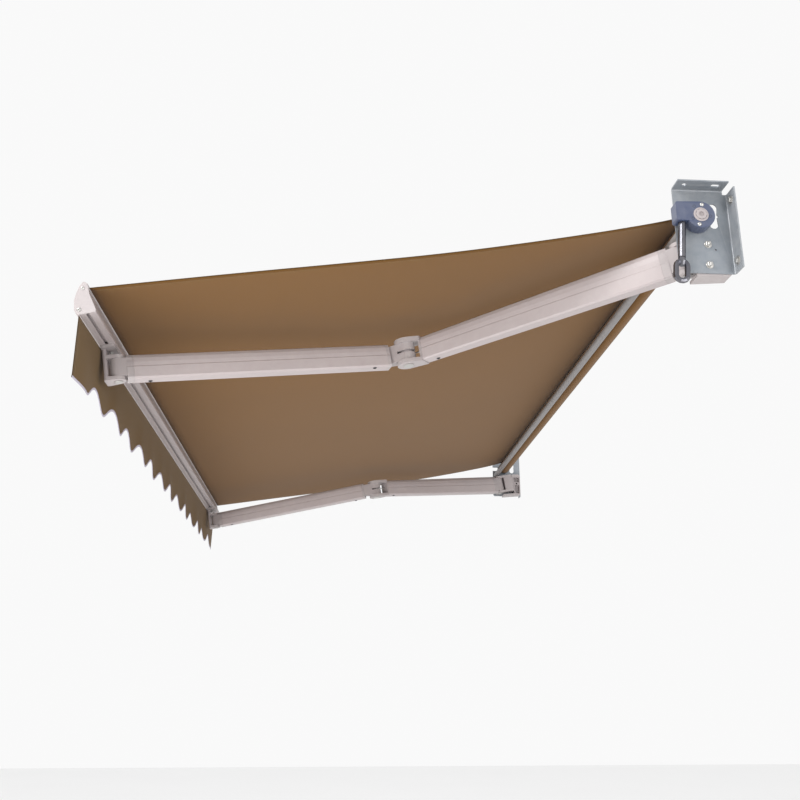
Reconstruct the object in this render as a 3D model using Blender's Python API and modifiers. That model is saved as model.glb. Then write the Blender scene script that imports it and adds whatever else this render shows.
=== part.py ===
"""Canvas awning: a folding-arm awning 3 m wide, open by 1.6 m, as it hangs on a wall.

The wall is the plane Y = 0 and the awning reaches out along -Y. X runs along the
wall, with the crank gearbox at +X, and Z is up. The origin is on the wall plane,
at half the width and at the height of the roller's axis.
"""

import bmesh
import bpy
from math import asin, ceil, cos, hypot, pi, radians, sin, sqrt, tau
from mathutils import Matrix, Vector
from mathutils.geometry import convex_hull_2d

GAP = 0.0003
ROUND_STEPS = 20

# End plates, folded from 4 mm sheet
PLATE_OUTER_X = 1.450
SHEET = 0.004
BEND_RADIUS = 0.003
FLANGE_X = 1.497
PLATE_FRONT_Y = -0.1558
PLATE_TOP_Z = 0.0974
PLATE_BOTTOM_Z = -0.1555
U_SLOT_HALF = 0.0098
CRANK_ROOM_Y = -0.1405
CRANK_ROOM_Z = -0.1350

# Roller, its cloth and its bearings
ROLLER_Y = -0.0963
ROLLER_HALF = 1.4300
TUBE_RADIUS = 0.0252
TUBE_WALL = 0.0012
ROLL_RADIUS = 0.031
CLOTH_HALF = 1.4186
JOURNAL_RADIUS = 0.0065

# Tie bar between the end plates
TIE_Y = -0.140
TIE_Z = -0.037
TIE_RADIUS = 0.0125

# Crank gearbox
GEAR_X = 1.468
WHEEL_TEETH = 22
WORM_STARTS = 2
WHEEL_PITCH_RADIUS = 0.0342
TOOTH_HEIGHT = 0.0016
WHEEL_WIDTH = 0.014
WORM_Y = -0.1424
WORM_TILT = radians(5.5)
STEM_END = -0.1260
SHAFT_RADIUS = 0.0102
DISC_RADIUS = 0.039
CASE_WALL = 0.0024
CASE_OUTER_X = 1.4845
CASE_FRONT_Y = -0.1640
CASE_LOW_Z = -0.0182
CASE_HIGH_Z = 0.0370
CASE_CORNER = 0.005
CASE_NECK = 0.0006

# Arm plane, which falls away from the wall
SLOPE = radians(9.52)
ARM_BOTTOM = -0.1237
SHOULDER_X = 1.413
SHOULDER_Y = -0.120
PIVOT_LENGTH = 0.846
REAR_ANGLE = radians(30.4)
FRONT_ANGLE = radians(12.3)
REAR_OFFSET = 0.0195
FRONT_OFFSET = 0.0245
REAR_WIDTH = 0.047
REAR_HEIGHT = 0.093
REAR_TIP_HEIGHT = 0.0755
FRONT_WIDTH = 0.043
FRONT_HEIGHT = 0.0736
ARM_WALL = 0.0028

# Front bar: its hollow section is drawn in Y and Z
BAR_HALF = 1.418
BAR_SECTION = (
    (-1.7061, -0.2232), (-1.7008, -0.2239), (-1.6950, -0.2273), (-1.6929, -0.2334),
    (-1.6872, -0.2553), (-1.6669, -0.2970), (-1.6662, -0.3046),
)
BAR_FRONT = (
    (-1.7066, -0.3135), (-1.7161, -0.3100), (-1.7203, -0.3025), (-1.7232, -0.2758),
    (-1.7197, -0.2550), (-1.7140, -0.2363),
)
BAR_WALL = 0.0022
BAR_CENTRE_Y = -1.6864
BAR_BOTTOM_Z = -0.3091
CAP_THICKNESS = 0.0036
SLOT_MOUTH = 0.0086
SLOT_WIDTH = 0.0168
SLOT_DEPTH = 0.0078
FOOT_THICKNESS = 0.0070
SEAT_BACK = 0.0110
BOLT_OFFSET = -0.0040

# Cloth
CLOTH_THICKNESS = 0.0016
CLOTH_LINE = (
    (-0.1050, 0.0318), (-0.1550, 0.0173), (-0.2970, -0.0163), (-0.4370, -0.0453),
    (-0.5750, -0.0718), (-0.7100, -0.0961), (-0.8440, -0.1179), (-0.9760, -0.1370),
    (-1.1070, -0.1556), (-1.2360, -0.1736), (-1.3630, -0.1917), (-1.4890, -0.2099),
    (-1.6130, -0.2279), (-1.6896, -0.2388),
)
VALANCE_Y = -1.7078
VALANCE_TOP_Z = -0.3150
WAVE_LENGTH = 0.200
WAVE_HEIGHT = 0.0213
WAVE_MIDDLE_Z = -0.4580
FIRST_LOW_X = 1.2827
LAST_LOW_X = -1.3173

PARTS = "canvas_awning"
CUTTERS = "cutters"
NORMAL = Vector((0.0, -sin(SLOPE), cos(SLOPE)))
DOWN_SLOPE = Vector((0.0, -cos(SLOPE), -sin(SLOPE)))
ALONG_X = Matrix(((0, 0, 1), (1, 0, 0), (0, 1, 0))).to_4x4()


def clear_scene():
    for old in list(bpy.data.objects):
        bpy.data.objects.remove(old, do_unlink=True)
    for name in (PARTS, CUTTERS):
        bpy.context.scene.collection.children.link(bpy.data.collections.new(name))


def material(name, colour, roughness, metallic):
    """Return a Principled material of one colour."""
    made = bpy.data.materials.new(name)
    made.use_nodes = True
    shader = made.node_tree.nodes["Principled BSDF"]
    shader.inputs["Base Color"].default_value = (*colour, 1.0)
    shader.inputs["Roughness"].default_value = roughness
    shader.inputs["Metallic"].default_value = metallic
    return made


def finish_for(name):
    """Choose the finish of a piece by its name."""
    looks = (
        ("plate", (0.16, 0.18, 0.20), 0.45, 0.3), ("gear", (0.05, 0.07, 0.13), 0.4, 0.2),
        ("tie", (0.16, 0.15, 0.15), 0.5, 0.2), ("crank", (0.10, 0.10, 0.13), 0.25, 0.9),
        ("canopy", (0.19, 0.08, 0.005), 0.9, 0.0), ("valance", (0.19, 0.08, 0.005), 0.9, 0.0),
        ("roll", (0.19, 0.08, 0.005), 0.9, 0.0), ("spring", (0.25, 0.25, 0.26), 0.35, 0.9),
        ("cable", (0.35, 0.35, 0.36), 0.35, 0.9), ("pin", (0.4, 0.4, 0.4), 0.35, 0.9),
        ("bolt", (0.4, 0.4, 0.4), 0.35, 0.9), ("worm", (0.45, 0.36, 0.18), 0.35, 0.9),
    )
    for key, colour, roughness, metallic in looks:
        if key in name:
            return material(name, colour, roughness, metallic)
    return material(name, (0.36, 0.31, 0.31), 0.4, 0.1)


def add(name, mesh, parent=None, place=None, part=True):
    """Put a mesh in the scene, under a parent if it has one, at a place in its frame."""
    made = bpy.data.objects.new(name, mesh)
    bpy.data.collections[PARTS if part else CUTTERS].objects.link(made)
    made.parent = parent
    if place is not None:
        made.location = place.to_translation()
        made.rotation_euler = place.to_euler()
    if part:
        mesh.materials.append(finish_for(name))
        mesh.shade_smooth()
        mesh.set_sharp_from_angle(angle=radians(32))
    else:
        made.hide_render = True
        made.display_type = "WIRE"
    return made


def axis_empty(name, parent, place):
    """Return an empty that marks a joint's axis."""
    made = bpy.data.objects.new(name, None)
    bpy.data.collections[PARTS].objects.link(made)
    made.parent = parent
    made.location = place.to_translation()
    made.rotation_euler = place.to_euler()
    return made


def boolean(target, tool, operation):
    """Cut a tool from a piece, or join the two."""
    step = target.modifiers.new(tool.name, "BOOLEAN")
    step.operation = operation
    step.solver = "EXACT"
    step.object = tool
    return target


def bevel(target, width, angle=40):
    """Break the sharp edges of a piece."""
    step = target.modifiers.new("edges", "BEVEL")
    step.width = width
    step.segments = 1
    step.limit_method = "ANGLE"
    step.angle_limit = radians(angle)
    return target


def clean_mesh(shape):
    """Weld a mesh's doubled points and point its faces outwards."""
    work = bmesh.new()
    work.from_mesh(shape)
    bmesh.ops.remove_doubles(work, verts=work.verts, dist=0.00001)
    bmesh.ops.recalc_face_normals(work, faces=work.faces)
    work.to_mesh(shape)
    work.free()
    return shape


def mesh_of_curve(curve):
    """Turn curve data into a closed mesh."""
    holder = bpy.data.objects.new("holder", curve)
    bpy.context.scene.collection.objects.link(holder)
    bpy.context.view_layer.update()
    evaluated = holder.evaluated_get(bpy.context.evaluated_depsgraph_get())
    shape = bpy.data.meshes.new_from_object(evaluated)
    bpy.data.objects.remove(holder, do_unlink=True)
    shape.materials.clear()
    return clean_mesh(shape)


def slab(outline, thickness, holes=()):
    """Extrude a flat outline with holes, half to each side of its plane."""
    curve = bpy.data.curves.new("outline", "CURVE")
    curve.dimensions = "2D"
    curve.fill_mode = "BOTH"
    curve.extrude = thickness / 2
    for loop in (outline, *holes):
        spline = curve.splines.new("POLY")
        spline.points.add(len(loop) - 1)
        for point, (u, v) in zip(spline.points, loop):
            point.co = (u, v, 0.0, 1.0)
        spline.use_cyclic_u = True
    return mesh_of_curve(curve)


def rod(points, radius, resolution=2, closed=False):
    """Sweep a round section along points."""
    curve = bpy.data.curves.new("path", "CURVE")
    curve.dimensions = "3D"
    curve.bevel_depth = radius
    curve.bevel_resolution = resolution
    curve.use_fill_caps = not closed
    spline = curve.splines.new("POLY")
    spline.points.add(len(points) - 1)
    for point, place in zip(spline.points, points):
        point.co = (*place, 1.0)
    spline.use_cyclic_u = closed
    return mesh_of_curve(curve)


def cylinder(radius, depth, steps=ROUND_STEPS):
    """Return a closed cylinder about local Z."""
    work = bmesh.new()
    bmesh.ops.create_cone(
        work, cap_ends=True, segments=steps, radius1=radius, radius2=radius, depth=depth
    )
    shape = bpy.data.meshes.new("cylinder")
    work.to_mesh(shape)
    work.free()
    return shape


def turned(profile, steps=ROUND_STEPS):
    """Return a profile of (radius, height) points turned about local Z."""
    shape = bpy.data.meshes.new("profile")
    shape.from_pydata([(r, 0.0, z) for r, z in profile], [(i, i + 1) for i in range(len(profile) - 1)], [])
    holder = bpy.data.objects.new("holder", shape)
    bpy.context.scene.collection.objects.link(holder)
    step = holder.modifiers.new("turn", "SCREW")
    step.steps = steps
    step.render_steps = steps
    step.use_merge_vertices = True
    step.merge_threshold = 0.00001
    bpy.context.view_layer.update()
    evaluated = holder.evaluated_get(bpy.context.evaluated_depsgraph_get())
    made = bpy.data.meshes.new_from_object(evaluated)
    bpy.data.objects.remove(holder, do_unlink=True)
    return clean_mesh(made)


def loft(rings, holes=None):
    """Join rings of points into a closed skin, hollow where inner rings are given."""
    work = bmesh.new()
    layers = [[work.verts.new(p) for p in ring] for ring in rings]
    inner = [[work.verts.new(p) for p in ring] for ring in holes or ()]
    for stack in (layers, inner):
        for lower, upper in zip(stack, stack[1:]):
            for i in range(len(lower)):
                j = (i + 1) % len(lower)
                work.faces.new((lower[i], lower[j], upper[j], upper[i]))
    for end in (0, -1):
        if inner:
            outside = layers[end]
            inside = inner[end]
            for i in range(len(outside)):
                j = (i + 1) % len(outside)
                work.faces.new((outside[i], outside[j], inside[j], inside[i]))
        else:
            work.faces.new(layers[end])
    shape = bpy.data.meshes.new("loft")
    work.to_mesh(shape)
    work.free()
    return clean_mesh(shape)


def twisted(outline, length, turn, layers):
    """Extrude an outline along local Z while it turns, as a gear's or worm's teeth do."""
    rings = []
    for k in range(layers + 1):
        share = k / layers - 0.5
        angle = turn * share
        rings.append(
            [
                (u * cos(angle) - v * sin(angle), u * sin(angle) + v * cos(angle), length * share)
                for u, v in outline
            ]
        )
    return loft(rings)


def arc(centre, radius, start, end, count):
    """Return points on an arc, with its angles in degrees."""
    points = []
    for i in range(count + 1):
        angle = radians(start + (end - start) * i / count)
        points.append((centre[0] + radius * cos(angle), centre[1] + radius * sin(angle)))
    return points


def circle(centre, radius, count=ROUND_STEPS):
    return arc(centre, radius, 0, 360 * (count - 1) / count, count - 1)


def rounded_box(low, high, radius, count=3):
    """Return a rectangle with round corners."""
    (u0, v0), (u1, v1) = low, high
    return (
        arc((u1 - radius, v1 - radius), radius, 0, 90, count)
        + arc((u0 + radius, v1 - radius), radius, 90, 180, count)
        + arc((u0 + radius, v0 + radius), radius, 180, 270, count)
        + arc((u1 - radius, v0 + radius), radius, 270, 360, count)
    )


def wrap(*groups):
    """Return the tight outline round all points, as a strap pulled round them would lie."""
    points = [p for group in groups for p in group]
    return [points[i] for i in convex_hull_2d(points)]


def box_mesh(low, high):
    """Return a box between two corners."""
    work = bmesh.new()
    bmesh.ops.create_cube(work, size=1.0)
    size = Vector(high) - Vector(low)
    bmesh.ops.scale(work, vec=size, verts=work.verts)
    bmesh.ops.translate(work, vec=(Vector(low) + Vector(high)) / 2, verts=work.verts)
    shape = bpy.data.meshes.new("box")
    work.to_mesh(shape)
    work.free()
    return shape


def cut(target, name, mesh, parent=None, place=None):
    return boolean(target, add(name, mesh, parent, place, part=False), "DIFFERENCE")


def fuse(target, name, mesh, parent=None, place=None):
    return boolean(target, add(name, mesh, parent, place, part=False), "UNION")


def at(x, y, z):
    return Matrix.Translation((x, y, z))


def side_name(hand):
    return "right" if hand > 0 else "left"


# End plates

def end_plate(hand):
    """Folded plate: a web with the slots, and flanges at the top and at the wall."""
    side = side_name(hand)
    bend = BEND_RADIUS + SHEET / 2
    web_x = hand * (PLATE_OUTER_X - SHEET / 2)
    rear_y = -SHEET / 2 - bend
    top_z = PLATE_TOP_Z - SHEET / 2 - bend
    relief = 0.008
    corner = 0.006
    slot_end = ROLLER_Y + 0.004
    eye_room = [(CRANK_ROOM_Y, PLATE_BOTTOM_Z), (CRANK_ROOM_Y, CRANK_ROOM_Z), (PLATE_FRONT_Y, CRANK_ROOM_Z + 0.011)]
    front_corner = [(PLATE_FRONT_Y + corner, PLATE_BOTTOM_Z), (PLATE_FRONT_Y, PLATE_BOTTOM_Z + corner)]
    web = [
        (rear_y - relief, top_z), (rear_y - relief, top_z - relief), (rear_y, top_z - relief),
        (rear_y, PLATE_BOTTOM_Z), *(eye_room if hand > 0 else front_corner), (PLATE_FRONT_Y, -U_SLOT_HALF),
        *arc((slot_end, 0), U_SLOT_HALF, 270, 450, 6), (PLATE_FRONT_Y, U_SLOT_HALF), (PLATE_FRONT_Y, top_z),
    ]
    window = (
        arc((-0.0465, 0.0405), 0.0125, -20, 200, 7)
        + arc((-0.0475, -0.0100), 0.0125, 160, 380, 7)
        + arc((-0.0385, 0.0160), 0.0050, -70, 70, 4)
    )
    small_hole = circle((-0.0505, -0.086), 0.0028, 8)
    flat = slab(web, 0.0, (window, small_hole))
    work = bmesh.new()
    work.from_mesh(flat)
    for vert in work.verts:
        vert.co = (web_x, vert.co.x, vert.co.y)
    turn = [radians(90 * k / 3) for k in range(4)]
    outward = [hand * bend * (cos(a) - cos(b)) for a, b in zip(turn, turn[1:])]
    onward = [bend * (sin(b) - sin(a)) for a, b in zip(turn, turn[1:])]
    flange = Vector((hand * (FLANGE_X - PLATE_OUTER_X + SHEET / 2 - bend), 0, 0))
    fold(work, 1, rear_y, [Vector((u, v, 0)) for u, v in zip(outward, onward)] + [flange])
    fold(work, 2, top_z, [Vector((u, 0, v)) for u, v in zip(outward, onward)] + [flange])
    bmesh.ops.recalc_face_normals(work, faces=work.faces)
    work.to_mesh(flat)
    work.free()
    plate = add(f"{side}_end_plate", flat)
    wall = plate.modifiers.new("sheet", "SOLIDIFY")
    wall.thickness = SHEET
    wall.offset = 0
    wall.use_even_offset = True
    flange_x = hand * 1.4760
    cut(plate, f"{side}_top_hole", cylinder(0.0065, 0.02, 12), None, at(flange_x, -0.1316, PLATE_TOP_Z))
    slot = rounded_box((-0.0065, -0.0125), (0.0065, 0.0125), 0.0064, 4)
    cut(plate, f"{side}_top_slot", slab(slot, 0.02), None, at(flange_x, -0.045, PLATE_TOP_Z))
    return plate


def fold(work, axis, level, moves):
    """Pull the open edges at one level of the sheet through a row of moves."""
    edges = [
        edge for edge in work.edges
        if edge.is_boundary and all(abs(vert.co[axis] - level) < 0.00001 for vert in edge.verts)
    ]
    for move in moves:
        grown = bmesh.ops.extrude_edge_only(work, edges=edges)["geom"]
        bmesh.ops.translate(work, vec=move, verts=[g for g in grown if isinstance(g, bmesh.types.BMVert)])
        edges = [g for g in grown if isinstance(g, bmesh.types.BMEdge)]


def thick_strip(line, thickness):
    """Return the outline of a strip of even thickness along a line of points."""
    left = []
    right = []
    for i, (u, v) in enumerate(line):
        u0, v0 = line[max(i - 1, 0)]
        u1, v1 = line[min(i + 1, len(line) - 1)]
        length = hypot(u1 - u0, v1 - v0)
        across = (-(v1 - v0) / length * thickness / 2, (u1 - u0) / length * thickness / 2)
        left.append((u + across[0], v + across[1]))
        right.append((u - across[0], v - across[1]))
    return left + right[::-1]


# Roller, tie bar and gearbox

def tie_bar():
    length = 2 * (PLATE_OUTER_X - SHEET - GAP)
    ring = slab(circle((0, 0), TIE_RADIUS), length, (circle((0, 0), TIE_RADIUS - 0.002),))
    add("tie_bar", ring, None, at(0, TIE_Y, TIE_Z) @ ALONG_X)


def roller():
    """Grooved roller tube, the turns of cloth on it, and the plugs and journals at its ends."""
    spin = axis_empty("roller_axis", None, at(0, ROLLER_Y, 0) @ ALONG_X)
    tube = slab(
        circle((0, 0), TUBE_RADIUS, 24), 2 * ROLLER_HALF, (circle((0, 0), TUBE_RADIUS - TUBE_WALL, 24),)
    )
    add("roller_tube", tube, spin)
    inner = TUBE_RADIUS + GAP
    roll = slab(spiral_end(ROLL_RADIUS), 2 * CLOTH_HALF, (circle((0, 0), inner, 24),))
    add("fabric_roll", roll, spin)
    inside = TUBE_RADIUS - TUBE_WALL - 3 * GAP
    plug_depth = 0.050
    flange = 0.004
    for hand in (1, -1):
        side = side_name(hand)
        reach = 0.0130 if hand < 0 else GEAR_X + WHEEL_WIDTH / 2 + 0.003 - ROLLER_HALF - flange
        profile = [
            (0.0, flange + reach), (JOURNAL_RADIUS, flange + reach), (JOURNAL_RADIUS, flange),
            (TUBE_RADIUS, flange), (TUBE_RADIUS, GAP), (inside, GAP), (inside, -plug_depth), (0.0, -plug_depth),
        ]
        place = at(0, 0, hand * ROLLER_HALF)
        if hand < 0:
            place = place @ Matrix.Rotation(pi, 4, "X")
        add(f"roller_plug_{side}", turned(profile, 16), spin, place)
    return spin


def spiral_end(radius):
    """Return the roll's outline, with the small step where the cloth's outer turn ends."""
    points = []
    count = 28
    for i in range(count):
        angle = radians(97) + tau * i / count
        reach = radius - 0.0010 * (1 - i / count)
        points.append((reach * cos(angle), reach * sin(angle)))
    return points


def idler_bearing():
    """Bearing block of the left end, whose boss sits in the plate's open slot."""
    inner_x = -(PLATE_OUTER_X - SHEET - GAP)
    block = slab(wrap(circle((ROLLER_Y, 0), 0.0185), [(-0.128, 0.0092), (-0.128, -0.0092)]), 0.005)
    bearing = add("idler_bearing", block, None, at(inner_x + 0.0025, 0, 0) @ ALONG_X)
    boss = slab(rounded_box((-0.124, -0.0092), (ROLLER_Y + 0.009, 0.0092), 0.006), 0.009)
    fuse(bearing, "idler_boss", boss, None, at(inner_x - 0.0035, 0, 0) @ ALONG_X)
    bore = slab(circle((ROLLER_Y, 0), JOURNAL_RADIUS + 0.0004, 16), 0.04)
    cut(bearing, "idler_bore", bore, None, at(inner_x, 0, 0) @ ALONG_X)
    return bearing


def case_outline(inset):
    """Return the gearbox outline in Y and Z, a disc with a block in front, drawn in by an inset."""
    radius = DISC_RADIUS - inset
    low = CASE_LOW_Z + inset
    high = CASE_HIGH_Z - inset
    front = CASE_FRONT_Y + inset
    corner = CASE_CORNER
    disc = circle((ROLLER_Y, 0), radius, 24)
    right = [p for p in disc if p[0] >= ROLLER_Y]
    below = [p for p in disc if p[0] < ROLLER_Y and p[1] < low]
    neck = [(ROLLER_Y - sqrt(radius**2 - low**2) + CASE_NECK, low)]
    return (
        [p for p in right if p[1] >= 0]
        + arc((front + corner, high - corner), corner, 90, 180, 3)
        + arc((front + corner, low + corner), corner, 180, 270, 3)
        + neck
        + sorted(below)
        + [p for p in right if p[1] < 0]
    )


def gearbox():
    """Cast case and its back cover, with the worm wheel and the worm inside."""
    back_thickness = 0.0016
    base_x = PLATE_OUTER_X + GAP + back_thickness / 2
    through = circle((ROLLER_Y, 0), 0.0090, 16)
    add("gearbox_back", slab(case_outline(0), back_thickness, (through,)), None, at(base_x, 0, 0) @ ALONG_X)
    case_x = PLATE_OUTER_X + 2 * GAP + back_thickness
    depth = CASE_OUTER_X - case_x
    case = add("gearbox_case", slab(case_outline(0), depth), None, at(case_x + depth / 2, 0, 0) @ ALONG_X)
    hollow = slab(case_outline(CASE_WALL), depth)
    cut(case, "case_hollow", hollow, None, at(case_x + depth / 2 - CASE_WALL, 0, 0) @ ALONG_X)
    shaft_exit = cylinder(SHAFT_RADIUS + 0.0004, 0.05, 16)
    cut(case, "case_exit", shaft_exit, None, worm_frame() @ at(0, 0, -0.030))
    bevel(case, 0.0012, 60)
    spin = bpy.data.objects["roller_axis"]
    wheel = add("worm_wheel", wheel_mesh(), spin, at(0, 0, GEAR_X) @ Matrix.Rotation(-WORM_TILT, 4, "Z"))
    bore = slab(circle((0, 0), JOURNAL_RADIUS + GAP, 16), 0.05)
    cut(wheel, "wheel_bore", bore, spin, at(0, 0, GEAR_X))
    crank = axis_empty("worm_axis", None, worm_frame())
    worm = add("worm_shaft", worm_mesh(), crank)
    stem = [
        (0.0, 0.0280), (0.0055, 0.0280), (0.0055, 0.0125), (0.0080, 0.0125), (0.0080, -0.0125),
        (SHAFT_RADIUS, -0.0160), (SHAFT_RADIUS, STEM_END), (0.0, STEM_END),
    ]
    fuse(worm, "worm_stem", turned(stem, 16), crank)
    eye(crank, STEM_END)


def worm_frame():
    """Frame of the worm: at its nearest point to the roller's axis, leaning out as it goes down."""
    y = ROLLER_Y - centre_distance() * cos(WORM_TILT)
    z = centre_distance() * sin(WORM_TILT)
    return at(GEAR_X, y, z) @ Matrix.Rotation(-WORM_TILT, 4, "X")


def wheel_mesh():
    """Helical worm wheel: trapezoid teeth that turn a little across the face."""
    tip = WHEEL_PITCH_RADIUS + TOOTH_HEIGHT
    root = WHEEL_PITCH_RADIUS - TOOTH_HEIGHT - 0.0005
    outline = []
    for tooth in range(WHEEL_TEETH):
        middle = tau * tooth / WHEEL_TEETH
        pitch = tau / WHEEL_TEETH
        for radius, share in ((root, -0.30), (tip, -0.13), (tip, 0.13), (root, 0.30)):
            angle = middle + share * pitch
            outline.append((radius * cos(angle), radius * sin(angle)))
    return twisted(outline, WHEEL_WIDTH, WHEEL_WIDTH * helix_slope() / WHEEL_PITCH_RADIUS, 1)


def centre_distance():
    return (ROLLER_Y - WORM_Y) * cos(WORM_TILT)


def worm_radius():
    return centre_distance() - WHEEL_PITCH_RADIUS


def helix_slope():
    """Return the worm's rise for each unit round its pitch circle."""
    lead = tau * WHEEL_PITCH_RADIUS / WHEEL_TEETH * WORM_STARTS
    return lead / (tau * worm_radius())


def worm_mesh():
    """Two-start worm: a lobed section that turns along the shaft."""
    pitch_radius = worm_radius()
    tip = pitch_radius + TOOTH_HEIGHT
    root = pitch_radius - TOOTH_HEIGHT - 0.0005
    outline = []
    for start in range(WORM_STARTS):
        middle = tau * start / WORM_STARTS
        span = tau / WORM_STARTS
        lobe = ((root, -0.38), (root, -0.26), (tip, -0.13), (tip, 0.0), (tip, 0.13), (root, 0.26), (root, 0.38))
        for radius, share in lobe:
            angle = middle + share * span
            outline.append((radius * cos(angle), radius * sin(angle)))
    lead = tau * WHEEL_PITCH_RADIUS / WHEEL_TEETH * WORM_STARTS
    length = 0.028
    return twisted(outline, length, tau * length / lead, 18)


def eye(crank, top):
    """Forged ring for the crank's hook, on a round neck."""
    half_width = 0.0155
    half_height = 0.0280
    wire = 0.0078
    centre = top - half_height - wire - 0.0040
    straight = half_height - half_width
    path = arc((0, centre + straight), half_width, 0, 180, 7) + arc((0, centre - straight), half_width, 180, 360, 7)
    ring = add("crank_eye", rod([(0.0, u, v) for u, v in path], wire, 2, True), crank)
    neck = turned([(0.0, 0.010), (0.0085, 0.010), (0.0115, -0.002), (0.0075, -0.0135), (0.0, -0.0135)], 12)
    fuse(ring, "eye_neck", neck, crank, at(0, 0, top - 0.0103))
    return ring


# Arms

def arm_frame(origin, direction):
    """Return the frame at a pivot: X along the arm, Y across it and Z off the arm plane."""
    across = NORMAL.cross(direction)
    frame = Matrix((direction, across, NORMAL)).transposed().to_4x4()
    return Matrix.Translation(origin) @ frame


def shoulder_point(hand):
    z = (ARM_BOTTOM + sin(SLOPE) * SHOULDER_Y) / cos(SLOPE)
    return Vector((hand * SHOULDER_X, SHOULDER_Y, z))


def arm_section(width, height, lift=0.0):
    """Section of an arm: round top, a step half-way up each side and a chamfered foot."""
    half = width / 2
    crown = 0.34 * height
    step = 0.0012
    right = [
        (half - 0.004, 0.0), (half, 0.005), (half, 0.47 * height), (half - step, 0.50 * height),
        (half - step, height - crown),
    ]
    right += [
        (half - step - 0.55 * half * (1 - cos(radians(a))), height - crown + crown * sin(radians(a)))
        for a in (30, 60, 90)
    ]
    left = [(-u, v) for u, v in reversed(right)]
    return [(u, v + lift) for u, v in right + left]


def rear_height(x):
    return REAR_HEIGHT + (REAR_TIP_HEIGHT - REAR_HEIGHT) * x / PIVOT_LENGTH


def rear_arm_mesh(start, end, inset=0.0):
    """Tapered tube between two distances from the shoulder."""
    rings = []
    holes = []
    for x in (start, end):
        height = rear_height(x)
        wall = ARM_WALL
        rings.append([(x, u, v) for u, v in arm_section(REAR_WIDTH, height)])
        holes.append([(x, u, v) for u, v in arm_section(REAR_WIDTH - 2 * wall, height - 2 * wall, wall)])
    return loft(rings, holes)


def pivot_pin(name, parent, x, y, low, high, radius, head):
    """Pivot pin with its head under the lower lug."""
    head_edge = 0.0022
    head_end = 0.0034
    profile = [
        (0.0, high + 0.003), (radius, high + 0.003), (radius, low - GAP), (head, low - GAP),
        (head, low - head_edge), (head - 0.002, low - head_end), (0.0, low - head_end),
    ]
    return add(name, turned(profile, 12), parent, at(x, y, 0))


def shoulder(hand):
    """Support on the end plate, and the clevis that carries the arm."""
    side = side_name(hand)
    inner = PLATE_OUTER_X - SHEET - GAP
    support_width = 0.052
    outline = [
        (-0.0120, -0.0500), (-0.0120, -0.1560), (-0.1080, -0.1635), (-0.1080, -0.1545), (-0.0440, -0.1480),
        (-0.0475, -0.1310), (-0.0615, -0.0570), (-0.0590, -0.0460), (-0.0500, -0.0405), (-0.0200, -0.0405),
    ]
    through = circle((-0.0330, -0.0940), 0.0050, 10)
    support = add(
        f"shoulder_support_{side}", slab(outline, support_width, (through,)), None,
        at(hand * (inner - support_width / 2), 0, 0) @ ALONG_X,
    )
    pocket = [(-0.0180, -0.0600), (-0.0180, -0.0850), (-0.0440, -0.0850), (-0.0490, -0.0600)]
    low_pocket = [(-0.0180, -0.1030), (-0.0180, -0.1480), (-0.0400, -0.1480), (-0.0430, -0.1030)]
    pocket_depth = 0.030
    for n, hollow in enumerate((pocket, low_pocket)):
        cut(
            support, f"support_pocket_{side}_{n}", slab(hollow, pocket_depth), None,
            at(hand * (inner - support_width), 0, 0) @ ALONG_X,
        )
    frame = axis_empty(f"rear_arm_{side}_axis", None, arm_frame(shoulder_point(hand), rear_direction(hand)))
    clevis_parts(hand, side, frame)
    return frame


def clevis_frame(hand):
    """Frame of the clevis: at the shoulder, with X straight down the slope."""
    return arm_frame(shoulder_point(hand), DOWN_SLOPE)


def clevis_parts(hand, side, frame):
    lug = 0.0112
    radius = 0.0275
    rear_low = -0.0715
    rear_high = -0.0278
    half = 0.0270
    place = clevis_frame(hand)
    back = [(rear_low, -half), (rear_low, half), (rear_high, half), (rear_high, -half)]
    outline = wrap(circle((0, 0), radius), [(rear_low, -half), (rear_low, half)])
    clevis = add(
        f"shoulder_clevis_{side}", slab(outline, lug), None, place @ at(0, 0, lug / 2)
    )
    fuse(clevis, f"clevis_upper_{side}", slab(outline, lug), None, place @ at(0, 0, REAR_HEIGHT - lug / 2))
    web_height = REAR_HEIGHT - lug
    fuse(clevis, f"clevis_web_{side}", slab(back, web_height), None, place @ at(0, 0, REAR_HEIGHT / 2))
    cut(clevis, f"clevis_bore_{side}", cylinder(0.0083, 0.3, 16), None, place)
    pin = pivot_pin(f"shoulder_pin_{side}", None, 0, 0, 0.0, REAR_HEIGHT, 0.0080, 0.0135)
    pin.location = place.to_translation()
    pin.rotation_euler = place.to_euler()
    knuckle_height = REAR_HEIGHT - 2 * lug - 4 * GAP
    eye_outline = wrap(circle((0, 0), 0.0235), [(0.040, -0.0215), (0.040, 0.0215)])
    middle = REAR_HEIGHT / 2
    knuckle = add(
        f"shoulder_knuckle_{side}", slab(eye_outline, knuckle_height), frame, at(0, 0, middle)
    )
    collar = loft([[(x, u, v) for u, v in arm_section(REAR_WIDTH, rear_height(x))] for x in (0.036, 0.058)])
    fuse(knuckle, f"knuckle_collar_{side}", collar, frame)
    spigot = rounded_box((-0.0180, 0.007), (0.0180, REAR_HEIGHT - 0.030), 0.004, 2)
    spigot_length = 0.050
    fuse(knuckle, f"knuckle_spigot_{side}", slab(spigot, spigot_length), frame, at(0.070, 0, 0) @ ALONG_X)
    cut(knuckle, f"knuckle_bore_{side}", cylinder(0.0083, 0.3, 16), frame)


def rear_direction(hand):
    angle = REAR_ANGLE + asin(REAR_OFFSET / PIVOT_LENGTH)
    return DOWN_SLOPE * cos(angle) - Vector((hand * sin(angle), 0, 0))


def front_direction(hand):
    angle = FRONT_ANGLE + asin(FRONT_OFFSET / PIVOT_LENGTH)
    return DOWN_SLOPE * cos(angle) + Vector((hand * sin(angle), 0, 0))


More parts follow.
